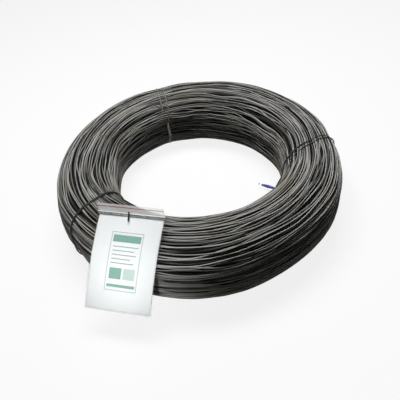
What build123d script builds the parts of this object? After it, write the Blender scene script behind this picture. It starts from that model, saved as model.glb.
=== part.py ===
# Coil of black annealed binding wire, lying flat on the floor. Three doubled wire ties hold the
# turns together, the inner wire end is wrapped in tape, and a card in a grip-seal bag leans on the
# shoulder, held by a bent wire end. Millimetres, +Z up, origin on the floor at the centre of the eye.
from build123d import *
import math
import os

# Wound coil: overall size, and the bands of turns that show round its section
coil_outer_diameter = 470
coil_eye_diameter = 270
coil_height = 108
coil_corner_radius = 40
coil_corner_limit_share = 0.95
band_count = 11
band_groove_depth = 4.5
band_groove_width = 9
seat_width = 24

# Gaps between pieces that lie against each other, and between a piece and the floor
seat_gap = 0.3
floor_gap = 0.2

# Ties: doubled wire pulled taut round the section, with its ends twisted together in the eye.
# Each crosses the winding at an azimuth in degrees, in an upright plane that misses the coil's
# axis by a share of the eye's radius.
tie_gap = 0.4
tie_wire_diameter = 2.4
tie_wire_sides = 6
tie_strand_overlap = 0.1
tie_tail_length = 24
tie_tail_lean = 35
tie_tail_height_share = 0.6
left_tie_azimuth = 213
left_tie_miss_share = 0.33
back_tie_azimuth = 107
back_tie_miss_share = -0.16
right_tie_azimuth = 353.3
right_tie_miss_share = 0.9

# Grip-seal bag: flat size, and the gently bowed way in which it leans on the coil's shoulder
bag_width = 95
bag_length = 143.5
bag_film = 0.2
bag_seal = 2.5
bag_clearance = 0.9
bag_azimuth = 253.9
bag_side_shift = 52.1
bag_touch_from_lip = 64.5
bag_touch_slope = 41
bag_bow_radius = 275
header_length = 11.5
zip_rib_width = 1.6
zip_rib_spacing = 3
zip_rib_rise = 0.5

# Card inside the bag
card_thickness = 0.4
card_gap = 0.15

# Bent wire end that holds the bag
tag_wire_diameter = 2.4
tag_wire_sides = 5
tag_hole_gap = 0.3
tag_hole_from_lip = 7
tag_root_length = 26
tag_front_length = 14.5
tag_bend_radius = 2.4

# Inner wire end that pokes into the eye, its small loop, and the tape wrapped round it
tail_wire_diameter = 2.0
tail_wire_sides = 6
tail_azimuth = 351
tail_root_angle = 7
tail_length = 39
tail_turn = 22
tail_bend_radius = 10
loop_radius = 2.4
wrap_diameter = 5.6
wrap_length = 22
wrap_from_loop = 3
wrap_gap = 0.1

# Sizes worked out from the ones above
outer_radius = coil_outer_diameter / 2
eye_radius = coil_eye_diameter / 2
ring_radius = (outer_radius + eye_radius) / 2
half_width = (outer_radius - eye_radius) / 2
corner_radius = min(coil_corner_radius, coil_corner_limit_share * min(half_width, coil_height / 2))
tie_reach = tie_wire_diameter / 2 + tie_gap
tie_low = tie_wire_diameter / 2 + floor_gap
tie_strand_pitch = tie_wire_diameter * math.cos(math.pi / tie_wire_sides) - tie_strand_overlap
tie_half_width = (tie_strand_pitch + tie_wire_diameter) / 2
tie_notch_depth = tie_low + tie_reach
tie_notch_width = 2 * (tie_half_width + tie_gap)
slot_thickness = card_thickness + 2 * card_gap
bag_thickness = slot_thickness + 2 * bag_film
tie_places = {
    "tie_wire_left": (left_tie_azimuth, left_tie_miss_share),
    "tie_wire_back": (back_tie_azimuth, back_tie_miss_share),
    "tie_wire_right": (right_tie_azimuth, right_tie_miss_share),
}
slot_from_lip = header_length + zip_rib_spacing + zip_rib_width


def turned(angle, length=1):
    """Flat vector of a length, at an angle in degrees from the X axis."""
    return length * Vector(math.cos(math.radians(angle)), math.sin(math.radians(angle)))


def upright_plane(origin, heading):
    """Upright plane with X along a heading in degrees and Y up."""
    return Plane(origin=origin, x_dir=turned(heading), z_dir=turned(heading - 90))


# The coil's section is drawn with X outwards from the middle of the winding and Y up

def half_outline():
    """Right half of the winding's rounded outline, from under the middle to over it."""
    corners = ((0, 0), (half_width, 0), (half_width, coil_height), (0, coil_height))
    return FilletPolyline(*corners, radius=corner_radius)


def outline_place(half, distance):
    """Point on the outline this far round from under the middle, and the way it faces."""
    mirrored = distance > half.length
    place = 2 * half.length - distance if mirrored else distance
    point = half.position_at(place, position_mode=PositionMode.LENGTH)
    along = half.tangent_at(place, position_mode=PositionMode.LENGTH)
    side = -1 if mirrored else 1
    return Vector(side * point.X, point.Y), Vector(side * along.Y, -along.X)


def band_marks():
    """Bottom of the groove before each band, and both edges of each band with the way they face."""
    half = half_outline()
    step = (2 * half.length - seat_width - band_groove_width) / band_count
    bottoms = []
    edges = []
    for index in range(band_count + 1):
        groove = seat_width / 2 + index * step
        point, outwards = outline_place(half, groove + band_groove_width / 2)
        bottoms.append(point - band_groove_depth * outwards)
        edges.append(outline_place(half, groove + band_groove_width))
        edges.append(outline_place(half, groove + step))
    return bottoms, edges[: 2 * band_count]


groove_bottoms, band_edges = band_marks()


def coil_section():
    """Outline of the winding: a flat seat on the floor, and bands of turns all round."""
    outline = [Vector(seat_width / 2, 0)]
    for index in range(band_count):
        outline.append(groove_bottoms[index])
        outline += [point for point, outwards in band_edges[2 * index : 2 * index + 2]]
    outline += [groove_bottoms[band_count], Vector(-seat_width / 2, 0)]
    return make_face(Polyline(*outline, close=True))


def tie_plane(azimuth, miss_share):
    """Upright plane of a tie, through the middle of the winding, with X outwards and Y up."""
    turn = math.degrees(math.asin(miss_share * eye_radius / ring_radius))
    return upright_plane(turned(azimuth, ring_radius), azimuth + turn)


def wire_coil():
    """Turned solid of the winding, with a notch under it for each tie."""
    coil = revolve(Plane.XZ * Pos(ring_radius, 0) * coil_section(), Axis.Z)
    notch = Box(2 * half_width, 2 * tie_notch_depth, tie_notch_width)
    for azimuth, miss_share in tie_places.values():
        coil -= tie_plane(azimuth, miss_share) * notch
    return coil


def strand_pair():
    """Section of two strands that lie side by side."""
    strand = RegularPolygon(tie_wire_diameter / 2, tie_wire_sides, rotation=90)
    return Pos(-tie_strand_pitch / 2, 0) * strand + Pos(tie_strand_pitch / 2, 0) * strand


def tie_corner(edge, outwards, miss):
    """Corner of a tie over a band's edge, in a plane that misses the coil's axis."""
    radius = ring_radius + edge.X + tie_reach * outwards.X
    radius += tie_half_width * abs(miss) / radius * outwards.X
    along = math.sqrt(radius**2 - miss**2) - math.sqrt(ring_radius**2 - miss**2)
    return Vector(along, edge.Y + tie_reach * outwards.Y)


def floor_corner(last, lowest):
    """Corner where a tie's lowest stretch comes down to the floor."""
    return last + (lowest - last) * ((last.Y - tie_low) / (last.Y - lowest.Y))


def tie_wire(azimuth, miss_share):
    """Doubled wire drawn taut over the bands and flat under the coil, with its twisted end."""
    plane = tie_plane(azimuth, miss_share)
    corners = [tie_corner(edge, outwards, miss_share * eye_radius) for edge, outwards in band_edges]
    corners[0] = floor_corner(corners[1], corners[0])
    corners[-1] = floor_corner(corners[-2], corners[-1])
    under = (corners[0] + corners[-1]) / 2
    route = plane * Polyline(under, *corners, under)
    start = Plane(origin=route @ 0, x_dir=plane.z_dir, z_dir=route % 0)
    loop = sweep(start * strand_pair(), path=route, transition=Transition.RIGHT)
    inner = min(corner.X for corner in corners)
    root = plane * Pos(inner, tie_tail_height_share * coil_height) * Rot(Z=-tie_tail_lean)
    tail = root * Rot(X=90) * Rot(Z=90) * strand_pair()
    return loop + extrude(tail, tie_tail_length)


# The bag's line is drawn with X outwards from the coil's axis and Y up. It touches the shoulder at
# the bag's edge that lies nearest to the middle of the coil.

bag_plane = upright_plane(turned(bag_azimuth - 90, bag_side_shift), bag_azimuth)
edge_shift = max(bag_side_shift - bag_width / 2, 0)
shoulder_reach = math.sqrt((outer_radius - corner_radius) ** 2 - edge_shift**2)
shoulder = Vector(shoulder_reach, coil_height - corner_radius)
bag_touch = turned(90 - bag_touch_slope, corner_radius + bag_clearance + bag_thickness / 2)
bow_centre = shoulder + bag_touch - turned(90 - bag_touch_slope, bag_bow_radius)


def bag_slope(from_lip):
    """Slope of the bag in degrees, at a distance from its lip."""
    return bag_touch_slope + math.degrees((from_lip - bag_touch_from_lip) / bag_bow_radius)


def bag_line(rise, start, end):
    """Bowed line at a rise off the bag's middle surface, between two distances from its lip."""
    places = (start, (start + end) / 2, end)
    return ThreePointArc(*[bow_centre + turned(90 - bag_slope(p), bag_bow_radius + rise) for p in places])


def bag_sheet(thickness, start, end, width):
    """Even sheet that follows the bag, between two distances from its lip."""
    front = bag_line(thickness / 2, start, end)
    back = bag_line(-thickness / 2, start, end)
    closing = Line(front @ 0, back @ 0).edges() + Line(front @ 1, back @ 1).edges()
    section = make_face(front.edges() + back.edges() + closing)
    return extrude(bag_plane * section, width / 2, both=True)


def bag_place(from_lip, rise=0):
    """Place on the bag's middle line, with X down the bag, Y off its face and Z across."""
    slope = bag_slope(from_lip)
    spot = bow_centre + turned(90 - slope, bag_bow_radius + rise)
    return bag_plane * Pos(spot.X, spot.Y) * Rot(Z=-slope)


def zip_bag():
    """Film pouch that is open between its lips, with zip ribs and the hole that the wire passes."""
    bag = bag_sheet(bag_thickness, 0, bag_length, bag_width)
    bag -= bag_sheet(slot_thickness, -bag_seal, bag_length - bag_seal, bag_width - 2 * bag_seal)
    rib = Box(zip_rib_width, bag_film + 2 * zip_rib_rise, bag_width)
    for row in range(2):
        place = header_length + row * zip_rib_spacing
        bag += bag_place(place, bag_thickness / 2) * rib
    hole = Cylinder(tag_wire_diameter / 2 + tag_hole_gap, 4 * bag_thickness)
    return bag - bag_place(tag_hole_from_lip) * Rot(X=90) * hole


def label_card():
    """Card that fills the bag from below its zip to its hem."""
    margin = bag_seal + card_gap
    return bag_sheet(card_thickness, slot_from_lip, bag_length - margin, bag_width - 2 * margin)


# Bent wires

def bent_wire(points, bend_radius, diameter, sides):
    """Wire of few sides along straight runs that are joined by bends."""
    route = FilletPolyline(*points, radius=bend_radius)
    start = Plane(origin=route @ 0, z_dir=route % 0)
    return sweep(start * RegularPolygon(diameter / 2, sides), path=route)


def tag_wire():
    """Wire end that lies over the turns, rises through the bag's header and bends down its face."""
    reach = tag_wire_diameter / 2
    front_rise = (bag_thickness + bag_film) / 2 + zip_rib_rise + seat_gap + reach
    hole = bag_place(tag_hole_from_lip).position
    drop = (hole.Z - coil_height - seat_gap - reach) / math.cos(math.radians(bag_slope(tag_hole_from_lip)))
    end = bag_place(tag_hole_from_lip + tag_front_length, front_rise).position
    over = bag_place(tag_hole_from_lip, front_rise).position
    under = bag_place(tag_hole_from_lip, -drop).position
    azimuth = math.degrees(math.atan2(under.Y, under.X))
    root = under + turned(azimuth, tag_root_length)
    return bent_wire((root, under, over, end), tag_bend_radius, tag_wire_diameter, tag_wire_sides)


# The inner wire end lies against the upper edge of the lowest band inside the eye, then turns in
# towards the axis

tail_edge, tail_outwards = band_edges[-2]
tail_seat = tail_edge + (tail_wire_diameter / 2 + seat_gap) * tail_outwards
tail_radius = ring_radius + tail_seat.X
tail_heading = tail_azimuth + 180 - tail_turn
tail_bend = turned(tail_azimuth, tail_radius) + Vector(0, 0, tail_seat.Y)
tail_tip = tail_bend + turned(tail_heading, tail_length)


def wire_tail():
    """Inner wire end, with a small loop bent at its tip."""
    root = turned(tail_azimuth - tail_root_angle, tail_radius) + Vector(0, 0, tail_seat.Y)
    wire = bent_wire((root, tail_bend, tail_tip), tail_bend_radius, tail_wire_diameter, tail_wire_sides)
    section = Pos(loop_radius, 0) * RegularPolygon(tail_wire_diameter / 2, tail_wire_sides)
    loop = revolve(Plane.XZ * section, Axis.Z)
    return wire + Pos(tail_tip + turned(tail_heading, loop_radius)) * loop


def tail_wrap():
    """Sleeve of tape wound round the inner wire end, just behind its loop."""
    middle = tail_tip - turned(tail_heading, wrap_from_loop + wrap_length / 2)
    sleeve = Cylinder(wrap_diameter / 2, wrap_length)
    sleeve -= Cylinder(tail_wire_diameter / 2 + wrap_gap, 2 * wrap_length)
    return Plane(origin=middle, z_dir=turned(tail_heading)) * sleeve


def main():
    """Write one file for each piece."""
    pieces = {
        "wire_coil": wire_coil(),
        "zip_bag": zip_bag(),
        "label_card": label_card(),
        "tag_wire": tag_wire(),
        "wire_tail": wire_tail(),
        "tail_wrap": tail_wrap(),
    }
    for name, (azimuth, miss_share) in tie_places.items():
        pieces[name] = tie_wire(azimuth, miss_share)
    os.makedirs("parts", exist_ok=True)
    for name, piece in pieces.items():
        export_step(piece, f"parts/{name}.step")


main()
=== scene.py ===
# Coil of black annealed binding wire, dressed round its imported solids. Metres, +Z up, in the part's
# own frame: the floor is z = 0, the eye's axis is Z, and -Y faces the viewer.
import math

import bmesh
import bpy
import numpy as np
from mathutils import Matrix, Vector


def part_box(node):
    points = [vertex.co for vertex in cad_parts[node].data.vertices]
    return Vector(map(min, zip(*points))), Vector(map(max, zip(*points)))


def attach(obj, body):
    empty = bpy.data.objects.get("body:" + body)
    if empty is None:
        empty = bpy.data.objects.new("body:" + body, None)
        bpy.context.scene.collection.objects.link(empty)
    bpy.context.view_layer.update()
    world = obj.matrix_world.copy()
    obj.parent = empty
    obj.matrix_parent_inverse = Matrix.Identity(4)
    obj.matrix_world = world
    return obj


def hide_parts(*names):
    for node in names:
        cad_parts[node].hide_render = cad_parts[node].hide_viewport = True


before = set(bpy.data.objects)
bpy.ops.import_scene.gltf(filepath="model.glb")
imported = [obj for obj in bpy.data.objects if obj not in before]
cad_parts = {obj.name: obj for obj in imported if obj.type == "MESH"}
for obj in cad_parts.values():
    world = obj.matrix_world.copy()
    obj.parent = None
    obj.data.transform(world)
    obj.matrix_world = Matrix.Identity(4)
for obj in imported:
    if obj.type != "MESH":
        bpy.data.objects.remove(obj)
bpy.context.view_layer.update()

# View of the photograph: where its camera stands, and the pixel that its axis meets
PHOTO_PIXELS = 400
FOCAL_PIXELS = 462.6
AIM_PIXEL = (197.8, 171.1)
AIM_HEIGHT = 0.0545
CAMERA_DISTANCE = 0.788
CAMERA_ELEVATION = 41.1
CAMERA_ROLL = -6.2
SENSOR_WIDTH = 36

# Winding: the section that its turns fill, read from the turned solid
coil_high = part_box("wire_coil")[1]
OUTER_RADIUS = coil_high.x
COIL_HEIGHT = coil_high.z
EYE_RADIUS = 0.135
RING_RADIUS = (OUTER_RADIUS + EYE_RADIUS) / 2
HALF_WIDTH = (OUTER_RADIUS - EYE_RADIUS) / 2
CORNER_RADIUS = 0.040
OUTLINE_STEPS = 721

# One wire, wound in layers from the outside in, over a core of hidden turns
WIRE_DIAMETER = 0.0017
WIRE_SIDES = 6
LAYER_TURNS = (104, 100, 88)
LAYER_PITCH = 0.0019
FIRST_DEPTH = 0.0017
LEAST_DEPTH = 0.0010
CORE_DEPTH = 0.0062
CORE_CORNERS = 60
CORE_STEPS = 96
TURN_STATIONS = 160
PIECE_TURNS = 98
WINDING_SEED = 11

# How the turns stray: bundles of turns swing together, single turns swing about them, and the whole
# lay opens in long gaps
BUNDLE_TURNS = 4
BUNDLE_SWINGS = 11
BUNDLE_SWING = 0.0022
BUNDLE_LIFT = 0.0010
STRAND_SWINGS = 26
STRAND_SWING = 0.0016
STRAND_LIFT = 0.0009
GAP_COUNTS = (8, 13)
GAP_SHARES = (0.10, 0.12)
GAP_SWINGS = 6
GAP_DRIFT = 2.4

# Slack of the winding at equal steps round it from +X, as shares of its half width, by which its rim
# and its eye lie inside the turned solid, or beyond it where a share is below 0
RIM_SLACK_SHARES = (0, -0.05, -0.05, 0, -0.04, 0.02, 0.03, -0.03, 0, 0, 0.09, -0.01)
EYE_SLACK_SHARES = (0.08, -0.05, -0.06, 0.04, 0.13, 0.13, 0, 0.03, -0.04, -0.06, 0.04, 0.15)

# Ties: azimuth in degrees, share of the eye's radius by which the tie's plane misses the axis, how
# far each of its two strands moves aside above the knot, and the shade of its wire. The ties are one
# wire in lit and shaded copies: the grey copy on the back tie is painted light.
TIES = {
    "tie_wire_left": (212, 0.20, 0.0, "black"),
    "tie_wire_back": (106.8, -0.20, 0.0044, "grey"),
    "tie_wire_right": (354.6, 0.77, 0.0024, "black"),
}
TIE_DIAMETER = 0.0020
TIE_PINCH_SHARE = 0.035
TIE_PINCH_WIDTH = 0.026
TIE_DEPTH = 0.0002
TIE_TAIL_LENGTH = 0.024
TIE_TAIL_LEAN = 35
TIE_TAIL_HEIGHT_SHARE = 0.6
TIE_PARTING_SHARE = 0.2
TIE_TWIST_PITCH = 0.0075
TIE_STEPS = 120
TWIST_STEPS = 40

# Bag: flat size, and the gently bowed way in which it leans on the shoulder
BAG_WIDTH = 0.095
BAG_LENGTH = 0.1435
BAG_THICKNESS = 0.0011
BAG_SEAL = 0.0025
SEAL_MERGE_SHARE = 0.02
BAG_CLEARANCE = 0.0009
BAG_AZIMUTH = 253.9
BAG_SIDE_SHIFT = 0.0521
BAG_TOUCH_FROM_LIP = 0.0645
BAG_TOUCH_SLOPE = 41
BAG_BOW_RADIUS = 0.275
HEADER_LENGTH = 0.0115
HEADER_SHIFT = 0.0065
ZIP_RIB_DIAMETER = 0.0016
ZIP_RIB_SPACING = 0.0030
ZIP_RIB_STEPS = 24
CARD_THICKNESS = 0.0004
CARD_MARGIN = 0.0020
BAG_SHEET_STEP = 0.0025
LABEL_WIDTH = 0.044
LABEL_LENGTH = 0.077
LABEL_FROM_LIP = 0.0366
LABEL_SHIFT = 0.0006
LABEL_RISE = 0.0003

# Loose wires: how finely they are rounded, then the end that holds the bag and the taped inner end
ROUNDING_STEPS = 2
TAG_DIAMETER = 0.0022
TAG_FROM_LIP = 0.0092
TAG_SHIFT = -0.0025
TAG_ROOT_LENGTH = 0.026
TAG_FRONT_LENGTH = 0.0123
TAG_BEND_STEPS = 7
TAIL_AZIMUTH = 351
TAIL_TURN = 22
TAIL_DIAMETER = 0.0018
TAIL_OUT = 0.0035
TAIL_DROP = 0.0020
LOOP_RADIUS = 0.0024
LOOP_STEPS = 32
WRAP_DIAMETER = 0.0060
WRAP_LENGTH = 0.024
WRAP_FROM_LOOP = 0.0005
WRAP_END_SHARE = 0.55
TAPE_WINDS = 7
TAPE_LAP_SHARE = 0.88
TAPE_STEPS = 24

# Finishes: spans of tone, with its painted depth shade, and of noise that they spread out, sizes of
# their patterns and of the line under the bag's lip, how opaque the film is, and its crinkles. The real
# grain of the oxide and the tape and the real fibre of the card are too fine for the render to show, so
# here they are coarser.
TONE_AND_SHADE_SPAN = (-2.3, 0.1)
NOISE_SPAN = (0.3, 0.7)
BROWNED_SPAN = (0.48, 0.66)
TIE_RUB_SPAN = (0.35, 0.7)
OXIDE_PATCH = 0.070
OXIDE_GRAIN = 0.004
TAPE_GRAIN = 0.003
FILM_CRINKLE = 0.018
CARD_FIBRE = 0.0015
LIP_LINE_FROM_LIP = 0.0038
LIP_LINE_WIDTH = 0.0014
LIP_LINE_HAZE = 0.5
FILM_HAZE = 0.08
HEADER_HAZE = 0.30
CRINKLE_RISE = 0.0004
CRINKLE_STRENGTH = 0.12

# Label: its border rule, and its printed blocks as shares of its width and height, from its left and
# from its foot, each with its colour
LABEL_RULE = 0.0006
LABEL_BLOCK_SHARES = [
    (0.06, 0.94, 0.83, 0.95, "#6BA695"),
    (0.10, 0.90, 0.745, 0.76, "#8F9A9A"),
    (0.10, 0.78, 0.675, 0.69, "#8F9A9A"),
    (0.10, 0.86, 0.605, 0.62, "#8F9A9A"),
    (0.10, 0.70, 0.535, 0.55, "#8F9A9A"),
    (0.10, 0.82, 0.465, 0.48, "#8F9A9A"),
    (0.10, 0.48, 0.20, 0.39, "#6BA695"),
    (0.54, 0.90, 0.20, 0.39, "#BBD6CD"),
    (0.06, 0.94, 0.06, 0.11, "#6BA695"),
]

# Stage: reach of the floor, how much it glows where it is seen, how strongly the surroundings light
# the object, and soft boxes, each with its place, what it is aimed at, its size, the spread of its
# light in degrees, and its power
FLOOR_REACH = 6
FLOOR_GLOW_SHARE = 0.85
SKY_STRENGTH = 0.02
COIL_MIDDLE = (0, 0, 0.05)
BAG_MIDDLE = (-0.116, -0.225, 0.066)
LAMPS = {
    "left_box": ((-0.25, 0.25, 1.20), COIL_MIDDLE, 0.4, 180, 8.5),
    "right_box": ((0.20, 0.25, 1.20), COIL_MIDDLE, 0.4, 180, 6.5),
    "fill_box": ((-0.85, -0.85, 1.15), COIL_MIDDLE, 0.8, 180, 0.4),
    "bag_box": ((-0.45, -1.30, 0.75), BAG_MIDDLE, 0.12, 8, 0.044),
}


# Small helpers

UP = np.array([0, 0, 1])


def linear(code):
    """Linear colour with alpha from an sRGB hex code."""
    shares = [int(code[i : i + 2], 16) / 255 for i in (1, 3, 5)]
    return [s / 12.92 if s <= 0.04045 else ((s + 0.055) / 1.055) ** 2.4 for s in shares] + [1]


def set_inputs(tree, node, inputs):
    """Set a node's inputs to values, or link them to sockets."""
    for name, value in inputs.items():
        if isinstance(value, bpy.types.NodeSocket):
            tree.links.new(value, node.inputs[name])
        else:
            node.inputs[name].default_value = value


def add_node(tree, kind, inputs=None, output=None, **settings):
    """Output of a new node of a kind, with its settings and inputs: the named one, or its first."""
    node = tree.nodes.new(f"ShaderNode{kind}")
    for name, value in settings.items():
        setattr(node, name, value)
    set_inputs(tree, node, inputs or {})
    live = [socket for socket in node.outputs if socket.enabled]
    return node.outputs[output] if output else live[0]


def new_material(name):
    """Empty node material with its tree and its principled shader."""
    material = bpy.data.materials.new(name)
    material.use_nodes = True
    return material, material.node_tree, material.node_tree.nodes["Principled BSDF"]


def add_piece(name, mesh, material, slot, *nodes):
    """Object that rides on the part and stands for the named nodes. Its slot is not used."""
    mesh.name = name
    mesh.materials.append(material)
    mesh.shade_smooth()
    piece = bpy.data.objects.new(name, mesh)
    bpy.context.scene.collection.objects.link(piece)
    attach(piece, "root")
    if nodes:
        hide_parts(*nodes)
    return piece


def bmesh_to_mesh(shape):
    """Mesh of a finished bmesh."""
    mesh = bpy.data.meshes.new("shape")
    shape.to_mesh(mesh)
    shape.free()
    return mesh


def wire_mesh(routes, diameter, cyclic=False):
    """Mesh of round wires along routes of points."""
    curve = bpy.data.curves.new("route", "CURVE")
    curve.dimensions = "3D"
    curve.bevel_depth = diameter / 2
    curve.bevel_resolution = ROUNDING_STEPS
    curve.use_fill_caps = not cyclic
    for route in routes:
        spline = curve.splines.new("POLY")
        spline.points.add(len(route) - 1)
        spline.points.foreach_set("co", np.column_stack([route, np.ones(len(route))]).ravel())
        spline.use_cyclic_u = cyclic
    holder = bpy.data.objects.new("route", curve)
    mesh = bpy.data.meshes.new_from_object(holder)
    bpy.data.objects.remove(holder)
    bpy.data.curves.remove(curve)
    return mesh


def spin_round(shape, profile, steps):
    """Turn a profile all the way round the Z axis."""
    bmesh.ops.spin(
        shape, geom=profile, cent=(0, 0, 0), axis=(0, 0, 1),
        angle=2 * math.pi, steps=steps, use_merge=True,
    )
    bmesh.ops.recalc_face_normals(shape, faces=shape.faces)


def turned(angle):
    """Flat unit vector at an angle in degrees from the X axis."""
    return np.array([math.cos(math.radians(angle)), math.sin(math.radians(angle)), 0])


# Winding

def section_outline():
    """Points and facings of the winding's rounded section, and the run to each, from under it."""
    turn = np.linspace(-np.pi / 2, 1.5 * np.pi, OUTLINE_STEPS)
    facing = np.stack([np.cos(turn), np.sin(turn)], axis=1)
    flats = np.array([HALF_WIDTH, COIL_HEIGHT / 2]) - CORNER_RADIUS
    points = np.sign(facing) * flats + CORNER_RADIUS * facing + np.array([0, COIL_HEIGHT / 2])
    points = np.vstack([points, points[:1]])
    facing = np.vstack([facing, facing[:1]])
    steps = np.hypot(*np.diff(points, axis=0).T)
    return points, facing, np.concatenate([[0], np.cumsum(steps)])


outline_points, outline_facings, outline_runs = section_outline()
OUTLINE_LENGTH = outline_runs[-1]


def section_place(run, depth):
    """Places in the section, outwards from its middle and up, at runs round it and depths in it."""
    run = np.mod(run, OUTLINE_LENGTH)
    place = []
    for axis in range(2):
        point = np.interp(run, outline_runs, outline_points[:, axis])
        facing = np.interp(run, outline_runs, outline_facings[:, axis])
        place.append(point - depth * facing)
    return place


def smooth_noise(table, row, column):
    """Smooth noise from a table of random values, round its columns and down its rows."""
    rows = np.floor(row).astype(int)
    columns = np.floor(column).astype(int)
    row_share = row - rows
    column_share = column - columns
    row_share = row_share**2 * (3 - 2 * row_share)
    column_share = column_share**2 * (3 - 2 * column_share)
    count, width = table.shape
    upper = table[rows % count, columns % width] * (1 - column_share)
    upper += table[rows % count, (columns + 1) % width] * column_share
    lower = table[(rows + 1) % count, columns % width] * (1 - column_share)
    lower += table[(rows + 1) % count, (columns + 1) % width] * column_share
    return upper * (1 - row_share) + lower * row_share


def tie_frame(azimuth, miss_share):
    """Heading and cross direction of a tie's upright plane, and its distance from the axis."""
    miss = miss_share * EYE_RADIUS
    heading = azimuth + math.degrees(math.asin(miss / RING_RADIUS))
    return turned(heading), turned(heading + 90), miss


def pinch(places):
    """How tightly the ties draw the winding in at places, from 0 to 1."""
    drawn = np.zeros(len(places))
    for tie in TIES.values():
        heading, across, miss = tie_frame(*tie[:2])
        off_plane = places @ across + miss
        near = np.exp(-((off_plane / TIE_PINCH_WIDTH) ** 2))
        drawn = np.maximum(drawn, near * (places @ heading > 0))
    return drawn


def turn_part(radial):
    """Parts of a turn, from 0 to 1, at which radial directions lie."""
    return np.mod(np.arctan2(radial[:, 1], radial[:, 0]) / (2 * np.pi), 1)


def drawn_in(out, height, radial, part):
    """Places in the section, drawn in by the winding's slack and by the ties."""
    slack = []
    for shares in (RIM_SLACK_SHARES, EYE_SLACK_SHARES):
        slack.append(smooth_noise(np.array([shares]), np.zeros_like(part), part * len(shares)))
    out = out * (1 - np.where(out > 0, *slack))
    drawn = TIE_PINCH_SHARE * pinch((RING_RADIUS + out)[:, None] * radial)
    return out * (1 - drawn), COIL_HEIGHT / 2 + (height - COIL_HEIGHT / 2) * (1 - drawn)


def wind_wire():
    """Stations along the whole wire, their radial directions, and a tone that varies along it at
    random and darkens on deeper turns as painted shade.
    """
    random = np.random.default_rng(WINDING_SEED)
    ends = np.concatenate([[0], np.cumsum(LAYER_TURNS)])
    turn = np.arange(ends[-1] * TURN_STATIONS + 1) / TURN_STATIONS
    layer = np.clip(np.searchsorted(ends, turn, side="right") - 1, 0, len(LAYER_TURNS) - 1)
    run = (turn - ends[layer]) / np.array(LAYER_TURNS)[layer] * OUTLINE_LENGTH
    depth = FIRST_DEPTH + LAYER_PITCH * layer
    azimuth = 2 * np.pi * turn
    part = np.mod(turn, 1)

    for count, share in zip(GAP_COUNTS, GAP_SHARES):
        spacing = OUTLINE_LENGTH / count
        drift = random.normal(scale=GAP_DRIFT, size=(len(LAYER_TURNS), GAP_SWINGS))
        phase = 2 * np.pi * run / spacing + smooth_noise(drift, layer.astype(float), part * GAP_SWINGS)
        run = run + share * spacing / (2 * np.pi) * np.sin(phase)

    bundle_count = int(ends[-1] / BUNDLE_TURNS) + 2
    for_bundles = (turn / BUNDLE_TURNS, part * BUNDLE_SWINGS)
    swing = random.normal(size=(bundle_count, BUNDLE_SWINGS))
    lift = random.normal(size=(bundle_count, BUNDLE_SWINGS))
    run = run + BUNDLE_SWING * smooth_noise(swing, *for_bundles)
    depth = depth + BUNDLE_LIFT * smooth_noise(lift, *for_bundles)

    # One row of random values for the swing of single turns, one for their lift and one for their tone
    knots = random.normal(size=(3, int(ends[-1]) * STRAND_SWINGS + 2))
    swing_row, lift_row, tone_row = np.repeat(np.arange(3.0)[:, None], len(turn), axis=1)
    run = run + STRAND_SWING * smooth_noise(knots, swing_row, turn * STRAND_SWINGS)
    depth = depth + STRAND_LIFT * smooth_noise(knots, lift_row, turn * STRAND_SWINGS)
    tone = smooth_noise(knots, tone_row, turn)

    depth = np.maximum(depth, LEAST_DEPTH)
    # Deeper turns are made darker: painted shade of the winding's depths
    tone = tone - depth / LAYER_PITCH
    out, height = section_place(run, depth)
    radial = np.stack([np.cos(azimuth), np.sin(azimuth), np.zeros_like(azimuth)], axis=1)
    out, height = drawn_in(out, height, radial, part)
    stations = (RING_RADIUS + out)[:, None] * radial
    stations[:, 2] = np.maximum(height, WIRE_DIAMETER / 2)
    return stations, radial, tone


def tube_mesh(stations, radial, tone):
    """Closed tube of few sides along stations that run round the axis. It is built ring by ring,
    because each ring carries the wire's tone with its painted depth shade."""
    angles = 2 * np.pi * np.arange(WIRE_SIDES) / WIRE_SIDES
    ring = np.cos(angles)[None, :, None] * radial[:, None, :]
    ring = ring + np.sin(angles)[None, :, None] * UP
    points = (stations[:, None, :] + WIRE_DIAMETER / 2 * ring).reshape(-1, 3)
    first = np.arange(len(stations) - 1)[:, None] * WIRE_SIDES
    side = np.arange(WIRE_SIDES)[None, :]
    beside = (side + 1) % WIRE_SIDES
    quads = np.stack(
        [first + side, first + WIRE_SIDES + side, first + WIRE_SIDES + beside, first + beside], axis=-1
    )
    start_cap = list(range(WIRE_SIDES))
    end_cap = [len(points) - 1 - corner for corner in start_cap]
    mesh = bpy.data.meshes.new("turns")
    mesh.from_pydata(points, [], quads.reshape(-1, 4).tolist() + [start_cap, end_cap])
    shade = mesh.attributes.new("wire_tone_and_shade", "FLOAT", "POINT")
    shade.data.foreach_set("value", np.repeat(tone, WIRE_SIDES).astype(np.float32))
    return mesh


def add_turns(material):
    """All turns of the wire, cut into a few long runs."""
    stations, radial, tone = wind_wire()
    length = PIECE_TURNS * TURN_STATIONS
    for index, start in enumerate(range(0, len(stations) - 1, length)):
        cut = slice(start, start + length + 1)
        mesh = tube_mesh(stations[cut], radial[cut], tone[cut])
        add_piece(f"wire_turns_{index + 1}", mesh, material, "coil_wire", "wire_coil")


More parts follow.
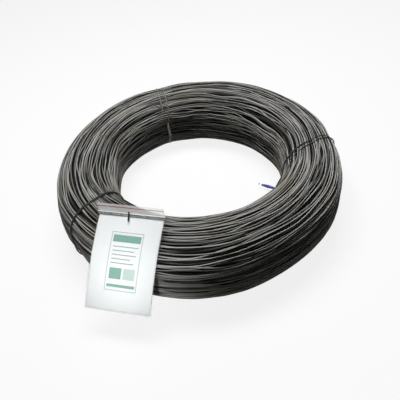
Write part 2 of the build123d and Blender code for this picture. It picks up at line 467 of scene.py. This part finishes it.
def add_core(material):
    """Core of hidden turns under the wound layers, drawn in as they are, and painted dark as painted
    shade.
    """
    shape = bmesh.new()
    runs = np.linspace(0, OUTLINE_LENGTH, CORE_CORNERS, endpoint=False)
    out, height = section_place(runs, CORE_DEPTH)
    corners = [shape.verts.new((RING_RADIUS + x, 0, z)) for x, z in zip(out, height)]
    edges = [shape.edges.new(pair) for pair in zip(corners, corners[1:] + corners[:1])]
    spin_round(shape, corners + edges, CORE_STEPS)
    points = np.array([corner.co for corner in shape.verts])
    reach = np.hypot(points[:, 0], points[:, 1])
    radial = points * (1 - UP) / reach[:, None]
    out, height = drawn_in(reach - RING_RADIUS, points[:, 2], radial, turn_part(radial))
    points = (RING_RADIUS + out)[:, None] * radial + height[:, None] * UP
    for corner, point in zip(shape.verts, points):
        corner.co = point
    add_piece("wire_core", bmesh_to_mesh(shape), material, "coil_wire")


# Ties

def tie_line(heading, across, miss, runs):
    """Middle line of a tie on the winding that it draws in, at runs round the section."""
    out, height = section_place(runs, TIE_DEPTH)
    radius = RING_RADIUS + out
    line = np.sqrt(radius**2 - miss**2)[:, None] * heading - miss * across
    radial = line / radius[:, None]
    out, height = drawn_in(out, height, radial, turn_part(radial))
    line = np.sqrt((RING_RADIUS + out) ** 2 - miss**2)[:, None] * heading - miss * across
    line[:, 2] = np.maximum(height, TIE_DIAMETER / 2)
    return line


def tie_routes(azimuth, miss_share, parting):
    """Loops of a tie's two strands, which part above the knot."""
    heading, across, miss = tie_frame(azimuth, miss_share)
    runs = np.linspace(0, OUTLINE_LENGTH, TIE_STEPS, endpoint=False)
    line = tie_line(heading, across, miss, runs)
    above_knot = line[:, 2] / COIL_HEIGHT - TIE_TAIL_HEIGHT_SHARE
    offset = TIE_DIAMETER / 2 + parting * np.clip(above_knot / TIE_PARTING_SHARE, 0, 1)
    return [line + side * offset[:, None] * across for side in (-1, 1)]


def twist_routes(azimuth, miss_share):
    """Twisted ends of a tie's two strands, which point down into the eye."""
    heading, across, miss = tie_frame(azimuth, miss_share)
    eye_side = np.linspace(OUTLINE_LENGTH / 2, OUTLINE_LENGTH, TIE_STEPS)
    line = tie_line(heading, across, miss, eye_side)
    root = line[np.argmin(np.abs(line[:, 2] - TIE_TAIL_HEIGHT_SHARE * COIL_HEIGHT))]
    lean = math.radians(TIE_TAIL_LEAN)
    along = -math.cos(lean) * UP - math.sin(lean) * heading
    beside = np.cross(along, across)
    run = np.linspace(0, TIE_TAIL_LENGTH, TWIST_STEPS)
    routes = []
    for start in (0, np.pi):
        angle = start + 2 * np.pi * run / TIE_TWIST_PITCH
        swirl = np.cos(angle)[:, None] * across + np.sin(angle)[:, None] * beside
        routes.append(root + run[:, None] * along + TIE_DIAMETER / 2 * swirl)
    return routes


def add_ties(materials):
    """Each doubled tie, with its twisted end."""
    for name, (azimuth, miss_share, parting, shade) in TIES.items():
        loop = wire_mesh(tie_routes(azimuth, miss_share, parting), TIE_DIAMETER, cyclic=True)
        add_piece(f"{name}_loop", loop, materials[shade], "tie_wire", name)
        twist = wire_mesh(twist_routes(azimuth, miss_share), TIE_DIAMETER)
        add_piece(f"{name}_twist", twist, materials[shade], "tie_wire", name)


# Bag

def bag_place(across, along, rise):
    """Place on the leaning bag: across to the viewer's right, along from its lip, rise off its face."""
    outwards = turned(BAG_AZIMUTH)
    right = turned(BAG_AZIMUTH + 90)
    touch = math.radians(BAG_TOUCH_SLOPE)
    edge_shift = max(BAG_SIDE_SHIFT - BAG_WIDTH / 2, 0)
    reach = math.sqrt((OUTER_RADIUS - CORNER_RADIUS) ** 2 - edge_shift**2)
    shoulder = np.array([reach, COIL_HEIGHT - CORNER_RADIUS])
    standing = CORNER_RADIUS + BAG_CLEARANCE + BAG_THICKNESS / 2
    bow_centre = shoulder + (standing - BAG_BOW_RADIUS) * np.array([math.sin(touch), math.cos(touch)])
    slope = touch + (along - BAG_TOUCH_FROM_LIP) / BAG_BOW_RADIUS
    spot = bow_centre + (BAG_BOW_RADIUS + rise) * np.array([math.sin(slope), math.cos(slope)])
    zip_end = HEADER_LENGTH + ZIP_RIB_SPACING
    askew = np.interp(along, [0, zip_end, BAG_LENGTH], [0, HEADER_SHIFT, 0])
    sideways = across + askew - BAG_SIDE_SHIFT
    return Vector(spot[0] * outwards + sideways * right + spot[1] * UP)


def bag_grid(shape, size, middle, rise):
    """Sheet of a flat size that follows the bag about a middle place, in a bmesh with a map."""
    width, length = size
    columns = round(width / BAG_SHEET_STEP)
    rows = round(length / BAG_SHEET_STEP)
    made = bmesh.ops.create_grid(shape, x_segments=columns, y_segments=rows, size=0.5, calc_uvs=True)
    for corner in made["verts"]:
        across = middle[0] + corner.co.x * width
        along = middle[1] - corner.co.y * length
        corner.co = bag_place(across, along, rise(across, along))


def bag_wall(side):
    """Rise of the bag's front or back film, which meets the other at the side and hem seals."""
    def rise(across, along):
        from_edge = min(BAG_WIDTH / 2 - abs(across), BAG_LENGTH - along)
        return side * BAG_THICKNESS / 2 * min(max(from_edge, 0) / BAG_SEAL, 1)
    return rise


def add_bag(materials):
    """Film pouch that is open at its lip, its zip ribs, the card in it and the label on the card."""
    shape = bmesh.new()
    shape.loops.layers.uv.new("UVMap")
    for side in (1, -1):
        bag_grid(shape, (BAG_WIDTH, BAG_LENGTH), (0, BAG_LENGTH / 2), bag_wall(side))
    bmesh.ops.remove_doubles(shape, verts=shape.verts, dist=SEAL_MERGE_SHARE * BAG_THICKNESS)
    bmesh.ops.recalc_face_normals(shape, faces=shape.faces)
    pouch = add_piece("bag_film", bmesh_to_mesh(shape), materials["film"], "bag_film", "zip_bag")

    shape = bmesh.new()
    shape.loops.layers.uv.new("UVMap")
    start = HEADER_LENGTH + ZIP_RIB_SPACING
    length = BAG_LENGTH - CARD_MARGIN - start
    size = (BAG_WIDTH - 2 * CARD_MARGIN, length)
    bag_grid(shape, size, (0, start + length / 2), lambda across, along: 0)
    bmesh.ops.solidify(shape, geom=shape.faces, thickness=CARD_THICKNESS / 2)
    add_piece("label_card", bmesh_to_mesh(shape), materials["card"], "card", "label_card")

    shape = bmesh.new()
    shape.loops.layers.uv.new("UVMap")
    middle = (LABEL_SHIFT, LABEL_FROM_LIP + LABEL_LENGTH / 2)
    bag_grid(shape, (LABEL_WIDTH, LABEL_LENGTH), middle, lambda across, along: LABEL_RISE)
    add_piece("card_label", bmesh_to_mesh(shape), materials["label"], "card")

    for row, name in enumerate(("pale", "grey")):
        along = HEADER_LENGTH + row * ZIP_RIB_SPACING
        places = np.linspace(-BAG_WIDTH / 2, BAG_WIDTH / 2, ZIP_RIB_STEPS)
        route = [bag_place(place, along, BAG_THICKNESS / 2) for place in places]
        mesh = wire_mesh([route], ZIP_RIB_DIAMETER)
        add_piece(f"zip_rib_{name}", mesh, materials[f"zip_{name}"], "bag_film")


# Wire ends

def add_tag_wire(material):
    """Wire end that lies over the turns, rises through the bag's header and bends down its face."""
    rise = (BAG_THICKNESS + ZIP_RIB_DIAMETER + TAG_DIAMETER) / 2
    hole = bag_place(TAG_SHIFT, TAG_FROM_LIP, 0)
    slope = math.radians(BAG_TOUCH_SLOPE) + (TAG_FROM_LIP - BAG_TOUCH_FROM_LIP) / BAG_BOW_RADIUS
    drop = (hole.z - COIL_HEIGHT - TAG_DIAMETER / 2) / math.cos(slope)
    under = bag_place(TAG_SHIFT, TAG_FROM_LIP, -drop)
    route = [under + TAG_ROOT_LENGTH * Vector((under.x, under.y, 0)).normalized(), under]
    for turn in np.linspace(0, np.pi / 2, TAG_BEND_STEPS):
        along = TAG_FROM_LIP + TAG_DIAMETER * (1 - math.cos(turn))
        route.append(bag_place(TAG_SHIFT, along, rise - TAG_DIAMETER * (1 - math.sin(turn))))
    route.append(bag_place(TAG_SHIFT, TAG_FROM_LIP + TAG_FRONT_LENGTH, rise))
    add_piece("tag_wire_end", wire_mesh([route], TAG_DIAMETER), material, "tie_wire", "tag_wire")


def add_taped_end(wire, tape):
    """Inner wire end in the eye, with a small eye bent at its tip and tape wound round it."""
    low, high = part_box("tail_wrap")
    heading = turned(TAIL_AZIMUTH + 180 - TAIL_TURN)
    across = turned(TAIL_AZIMUTH + 270 - TAIL_TURN)
    middle = np.array((low + high) / 2) + TAIL_OUT * heading - TAIL_DROP * UP
    tip = middle + (WRAP_LENGTH / 2 + WRAP_FROM_LOOP) * heading
    turn = np.linspace(0, 2 * np.pi, LOOP_STEPS)
    loop = tip + LOOP_RADIUS * heading
    ring = loop - LOOP_RADIUS * (np.cos(turn)[:, None] * heading + np.sin(turn)[:, None] * across)
    route = np.vstack([[middle - WRAP_LENGTH * heading], [middle], ring])
    add_piece("wire_tail_end", wire_mesh([route], TAIL_DIAMETER), wire, "bare_wire", "wire_tail")

    shape = bmesh.new()
    profile = [(-WRAP_LENGTH / 2, TAIL_DIAMETER / 2)]
    for wind in range(TAPE_WINDS):
        share = (wind + 0.5) / TAPE_WINDS
        radius = WRAP_DIAMETER / 2 * (WRAP_END_SHARE + (1 - WRAP_END_SHARE) * math.sin(math.pi * share))
        start = WRAP_LENGTH * (wind / TAPE_WINDS - 0.5)
        profile.append((start, TAPE_LAP_SHARE * radius))
        profile.append((start + TAPE_LAP_SHARE * WRAP_LENGTH / TAPE_WINDS, radius))
    profile.append((WRAP_LENGTH / 2, TAIL_DIAMETER / 2))
    corners = [shape.verts.new((radius, 0, place)) for place, radius in profile]
    edges = [shape.edges.new(pair) for pair in zip(corners, corners[1:])]
    spin_round(shape, corners + edges, TAPE_STEPS)
    place = Matrix.Translation(middle) @ Vector(heading).to_track_quat("Z", "Y").to_matrix().to_4x4()
    bmesh.ops.transform(shape, matrix=place, verts=shape.verts)
    add_piece("tail_tape", bmesh_to_mesh(shape), tape, "tape", "tail_wrap")


# Materials

def patches(tree, size, span=NOISE_SPAN, low=0, high=1):
    """Uneven patches of about a size over a piece, as values from low to high over a span of noise."""
    place = add_node(tree, "TexCoord", output="Object")
    noise = add_node(tree, "TexNoise", {"Vector": place, "Scale": 1 / size})
    ends = {"From Min": span[0], "From Max": span[1], "To Min": low, "To Max": high}
    return add_node(tree, "MapRange", {"Value": noise, **ends})


def map_area(tree, left, right, low, high):
    """1 inside a rectangle of a piece's own map, from 0 to 1 across and up, and 0 outside it."""
    across = add_node(tree, "SeparateXYZ", {"Vector": add_node(tree, "TexCoord", output="UV")})
    up = across.node.outputs["Y"]
    within = []
    for place, start, end in ((across, left, right), (up, low, high)):
        band = {0: place, 1: (start + end) / 2, 2: (end - start) / 2}
        within.append(add_node(tree, "Math", band, operation="COMPARE"))
    return add_node(tree, "Math", dict(enumerate(within)), operation="MULTIPLY")


def annealed_turns():
    """Annealed steel wire: the bake leaves a dark oxide with a satin sheen, turning brown-green in
    patches. Its tone differs at random from turn to turn, and deeper turns are painted darker as
    painted shade."""
    material, tree, shader = new_material("annealed_steel_wire")
    tone = add_node(tree, "Attribute", output="Fac", attribute_name="wire_tone_and_shade")
    # Dark to pale by the wire's tone, with the painted shade of the deeper turns
    tone_and_shade_ends = {"Value": tone, "From Min": TONE_AND_SHADE_SPAN[0], "From Max": TONE_AND_SHADE_SPAN[1]}
    tone_and_shade_share = add_node(tree, "MapRange", tone_and_shade_ends)
    shades = {"Factor": tone_and_shade_share, "A": linear("#151515"), "B": linear("#B2B1AD")}
    grey = add_node(tree, "Mix", shades, data_type="RGBA")
    browned = {"Factor": patches(tree, OXIDE_PATCH, BROWNED_SPAN), "A": grey, "B": linear("#F3F0E4")}
    set_inputs(tree, shader, {
        "Base Color": add_node(tree, "Mix", browned, data_type="RGBA", blend_type="MULTIPLY"),
        "Roughness": patches(tree, OXIDE_GRAIN, low=0.45, high=0.62),
        "Metallic": 0.04,
        "Specular IOR Level": 0.1,
    })
    return material


def annealed_core():
    """The same wire deep in the winding, painted near black as painted shade."""
    material, tree, shader = new_material("annealed_steel_painted_shade")
    shades = {"Factor": patches(tree, OXIDE_GRAIN), "A": linear("#050505"), "B": linear("#141413")}
    set_inputs(tree, shader, {
        "Base Color": add_node(tree, "Mix", shades, data_type="RGBA"),
        "Roughness": 0.8,
        "Specular IOR Level": 0.1,
    })
    return material


def tie_steel(name, dark, light):
    """Annealed tie wire: softer and more handled than the turns, with worn places on its oxide."""
    material, tree, shader = new_material(name)
    shades = {"Factor": patches(tree, OXIDE_GRAIN, TIE_RUB_SPAN), "A": linear(dark), "B": linear(light)}
    set_inputs(tree, shader, {
        "Base Color": add_node(tree, "Mix", shades, data_type="RGBA"),
        "Roughness": 0.5,
        "Metallic": 0.2,
        "Specular IOR Level": 0.3,
    })
    return material


def bare_steel():
    """Bare drawn steel at the inner end: pale, bright and lightly brushed."""
    material, tree, shader = new_material("bare_drawn_steel")
    shades = {"Factor": patches(tree, OXIDE_GRAIN), "A": linear("#C4C2B0"), "B": linear("#F0EEDF")}
    set_inputs(tree, shader, {
        "Base Color": add_node(tree, "Mix", shades, data_type="RGBA"),
        "Roughness": 0.32,
        "Metallic": 0.7,
    })
    return material


def blue_tape():
    """Calendered vinyl tape: an even blue with a soft gloss that dulls over its stretch marks."""
    material, tree, shader = new_material("blue_vinyl_tape")
    shades = {"Factor": patches(tree, TAPE_GRAIN), "A": linear("#3A3F9C"), "B": linear("#5A61C4")}
    set_inputs(tree, shader, {
        "Base Color": add_node(tree, "Mix", shades, data_type="RGBA"),
        "Roughness": patches(tree, TAPE_GRAIN, low=0.28, high=0.45),
    })
    return material


def clear_film():
    """Blown polyethylene film: nearly clear with a grey haze and slack crinkles, milky above the zip,
    with the coloured line that is printed under its lip."""
    material, tree, shader = new_material("polyethylene_film")
    line = 1 - LIP_LINE_FROM_LIP / BAG_LENGTH
    half = LIP_LINE_WIDTH / BAG_LENGTH / 2
    printed = map_area(tree, 0, 1, line - half, line + half)
    inks = {"Factor": printed, "A": linear("#E9EEEE"), "B": linear("#B8707C")}
    header = map_area(tree, 0, 1, 1 - HEADER_LENGTH / BAG_LENGTH, 1)
    haze = add_node(tree, "MapRange", {"Value": header, "To Min": FILM_HAZE, "To Max": HEADER_HAZE})
    cover = add_node(tree, "MapRange", {"Value": printed, "To Min": 0, "To Max": LIP_LINE_HAZE})
    height = patches(tree, FILM_CRINKLE, (0, 1))
    crinkle = {"Height": height, "Strength": CRINKLE_STRENGTH, "Distance": CRINKLE_RISE}
    set_inputs(tree, shader, {
        "Base Color": add_node(tree, "Mix", inks, data_type="RGBA"),
        "Alpha": add_node(tree, "Math", {0: haze, 1: cover}, operation="MAXIMUM"),
        "Normal": add_node(tree, "Bump", crinkle),
        "Roughness": 0.25,
    })
    return material


def zip_plastic(name, dark, light):
    """Extruded polyethylene rib: waxy, with faint streaks."""
    material, tree, shader = new_material(name)
    shades = {"Factor": patches(tree, FILM_CRINKLE), "A": linear(dark), "B": linear(light)}
    set_inputs(tree, shader, {
        "Base Color": add_node(tree, "Mix", shades, data_type="RGBA"),
        "Roughness": 0.35,
    })
    return material


def white_card():
    """Coated board: bright white with a soft sheen and a faint fibre."""
    material, tree, shader = new_material("coated_white_board")
    fibre = patches(tree, CARD_FIBRE)
    shades = {"Factor": fibre, "A": linear("#F6FAFB"), "B": linear("#FDFEFE")}
    set_inputs(tree, shader, {
        "Base Color": add_node(tree, "Mix", shades, data_type="RGBA"),
        "Roughness": patches(tree, CARD_FIBRE, low=0.5, high=0.6),
    })
    return material


def printed_label():
    """Offset-printed paper: flat sea-green ink and grey rules on white, with a matt face."""
    material, tree, shader = new_material("printed_label_paper")
    side = LABEL_RULE / LABEL_WIDTH
    foot = LABEL_RULE / LABEL_LENGTH
    inside = map_area(tree, side, 1 - side, foot, 1 - foot)
    inks = {"Factor": inside, "A": linear("#7E9290"), "B": linear("#F6FAF9")}
    colour = add_node(tree, "Mix", inks, data_type="RGBA")
    for left, right, low, high, code in LABEL_BLOCK_SHARES:
        inks = {"Factor": map_area(tree, left, right, low, high), "A": colour, "B": linear(code)}
        colour = add_node(tree, "Mix", inks, data_type="RGBA")
    worn = {"Factor": patches(tree, CARD_FIBRE, high=0.06), "A": colour, "B": linear("#FFFFFF")}
    set_inputs(tree, shader, {
        "Base Color": add_node(tree, "Mix", worn, data_type="RGBA"),
        "Roughness": 0.5,
    })
    return material


# Stage

def add_camera():
    """Camera where the photograph was taken from, with the photograph's framing."""
    data = bpy.data.cameras.new("photo_camera")
    data.sensor_width = SENSOR_WIDTH
    data.lens = SENSOR_WIDTH * FOCAL_PIXELS / PHOTO_PIXELS
    data.shift_x = 0.5 - AIM_PIXEL[0] / PHOTO_PIXELS
    data.shift_y = AIM_PIXEL[1] / PHOTO_PIXELS - 0.5
    camera = bpy.data.objects.new("photo_camera", data)
    tilt = Matrix.Rotation(math.radians(90 - CAMERA_ELEVATION), 4, "X")
    roll = Matrix.Rotation(math.radians(CAMERA_ROLL), 4, "Z")
    back = tilt @ Vector((0, 0, CAMERA_DISTANCE))
    camera.matrix_world = Matrix.Translation(back + Vector((0, 0, AIM_HEIGHT))) @ tilt @ roll
    bpy.context.scene.collection.objects.link(camera)
    bpy.context.scene.camera = camera


def add_lamp(name, place, aim, size, spread, power):
    """Square soft box, with a grid before it where its light is kept narrow."""
    data = bpy.data.lights.new(name, "AREA")
    data.size = size
    data.spread = math.radians(spread)
    data.energy = power
    lamp = bpy.data.objects.new(name, data)
    lamp.location = place
    lamp.rotation_euler = (Vector(place) - Vector(aim)).to_track_quat("Z", "Y").to_euler()
    bpy.context.scene.collection.objects.link(lamp)


def seen_directly(tree):
    """1 for rays from the camera, or by way of gloss or glass, and 0 for light that bounces."""
    camera = add_node(tree, "LightPath", output="Is Camera Ray")
    outputs = camera.node.outputs
    glossy = add_node(tree, "Math", {0: camera, 1: outputs["Is Glossy Ray"]}, operation="MAXIMUM")
    return add_node(tree, "Math", {0: glossy, 1: outputs["Is Transmission Ray"]}, operation="MAXIMUM")


def pale_floor():
    """Matt painted floor: white where it is seen, dark to the light that it would throw back."""
    material, tree, shader = new_material("pale_floor")
    seen = seen_directly(tree)
    shades = {"Factor": seen, "A": linear("#303030"), "B": linear("#FDFDFD")}
    set_inputs(tree, shader, {
        "Base Color": add_node(tree, "Mix", shades, data_type="RGBA"),
        "Roughness": 1,
        "Specular IOR Level": 0,
    })
    share = add_node(tree, "MapRange", {"Value": seen, "To Max": FLOOR_GLOW_SHARE})
    layers = {"Fac": share, 1: shader.outputs["BSDF"], 2: add_node(tree, "Emission")}
    set_inputs(tree, tree.nodes["Material Output"], {"Surface": add_node(tree, "MixShader", layers)})
    return material


def add_floor(material):
    """Plain floor that keeps a light shadow."""
    shape = bmesh.new()
    bmesh.ops.create_grid(shape, x_segments=1, y_segments=1, size=FLOOR_REACH)
    floor = bpy.data.objects.new("floor", bmesh_to_mesh(shape))
    floor.data.materials.append(material)
    bpy.context.scene.collection.objects.link(floor)


def add_light():
    """White surroundings and soft studio light."""
    world = bpy.data.worlds.new("studio")
    bpy.context.scene.world = world
    world.use_nodes = True
    tree = world.node_tree
    sky = {"Value": seen_directly(tree), "To Min": SKY_STRENGTH, "To Max": 1}
    white = {"Color": linear("#FFFFFF"), "Strength": add_node(tree, "MapRange", sky)}
    set_inputs(tree, tree.nodes["Background"], white)
    for name, settings in LAMPS.items():
        add_lamp(name, *settings)
    bpy.context.scene.view_settings.view_transform = "Standard"


add_turns(annealed_turns())
add_core(annealed_core())
# One tie wire in lit and shaded copies: the grey copy is painted light
black_tie = tie_steel("annealed_tie_wire_black", "#131313", "#2A2928")
grey_tie = tie_steel("annealed_tie_wire_painted_light", "#605F5C", "#918F8A")
add_ties({"black": black_tie, "grey": grey_tie})
bag_materials = {
    "film": clear_film(),
    "card": white_card(),
    "label": printed_label(),
    "zip_pale": zip_plastic("polyethylene_rib_pale", "#DDE1E1", "#F4F7F7"),
    # The lower rib is coloured grey, which draws the dark line along the zip
    "zip_grey": zip_plastic("polyethylene_rib_grey", "#6F7575", "#8F9595"),
}
add_bag(bag_materials)
add_tag_wire(black_tie)
add_taped_end(bare_steel(), blue_tape())
add_camera()
add_floor(pale_floor())
add_light()
